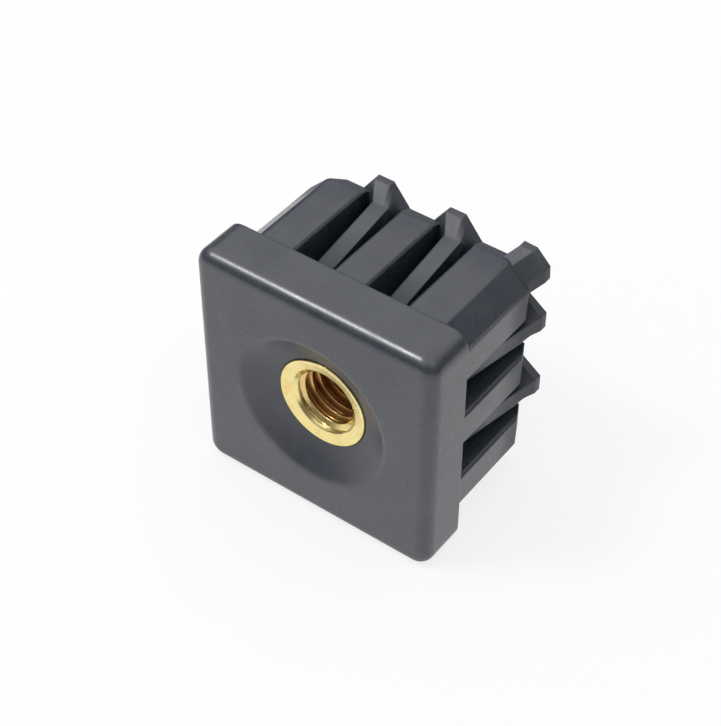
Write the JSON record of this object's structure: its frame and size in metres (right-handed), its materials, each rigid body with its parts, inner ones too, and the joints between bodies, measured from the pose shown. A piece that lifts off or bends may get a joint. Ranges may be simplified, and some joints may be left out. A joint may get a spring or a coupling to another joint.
{
  "type": "square tube end cap",
  "caption": "Square plastic plug that closes the end of a tube and carries a threaded brass bush, with gripping barbs on its ribbed shank.",
  "frame": {"origin": "on the thread's axis, in the plane where the head seats on the end of the tube", "axes": "+Y along the thread's axis from the head to the shank, the way the plug goes into the tube; +X and +Z square to two sides of the head"},
  "size_m": [0.03, 0.0212, 0.03],
  "materials": {
    "black_plastic": "black moulded polyamide, matte",
    "brass": "bright turned brass"
  },
  "bodies": {
    "root": {"plug_body": "black_plastic", "threaded_bush": "brass"}
  },
  "joints": []
}
